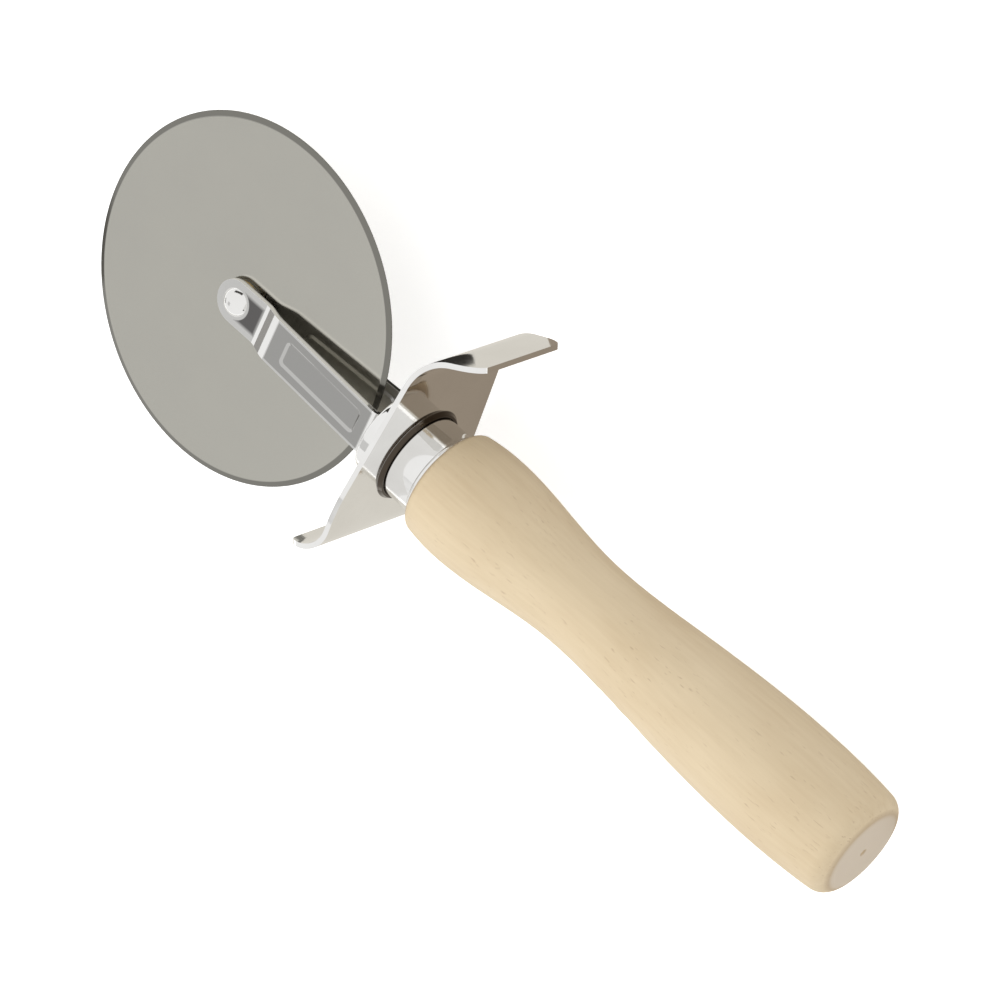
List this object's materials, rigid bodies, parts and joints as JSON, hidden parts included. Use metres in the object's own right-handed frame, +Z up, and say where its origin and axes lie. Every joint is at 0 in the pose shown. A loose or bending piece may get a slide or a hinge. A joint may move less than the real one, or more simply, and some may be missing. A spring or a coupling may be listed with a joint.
{
  "type": "pizza wheel",
  "caption": "Hand pizza cutter: a round steel blade turning in a forked chrome head with a folded finger guard, a ferrule and a turned wooden handle.",
  "frame": {"origin": "middle of the tool's box, on the surface under it, as it lies on its side", "axes": "+X along the handle from the blade to the butt, +Y across the tool towards the guard's end that is folded back, +Z up along the blade's axle"},
  "size_m": [0.2784, 0.1016, 0.0512],
  "materials": {
    "blade_steel": "fine satin grind, edge ground from both sides",
    "bright_plate": "bright plated pressed sheet",
    "plain_steel": "plain rolled",
    "bush_brass": "turned",
    "pale_wood": "sanded and thinly lacquered pale hardwood"
  },
  "bodies": {
    "head_and_handle": {"front_washer": "plain_steel", "rear_washer": "plain_steel", "axle_rivet": "bright_plate", "rivet_burr": "plain_steel", "front_fork_arm": "bright_plate", "rear_fork_arm": "bright_plate", "finger_guard": "bright_plate", "ferrule": "bright_plate", "ferrule_brad": "plain_steel", "handle": "pale_wood"},
    "blade": {"cutting_wheel": "blade_steel", "wheel_bush": "bush_brass"}
  },
  "joints": [
    {"name": "wheel_spin", "type": "hinge", "parent": "head_and_handle", "child": "blade", "pos_m": [-0.08845, 0, 0.0256], "axis": [0, 0, 1], "continuous": true}
  ]
}
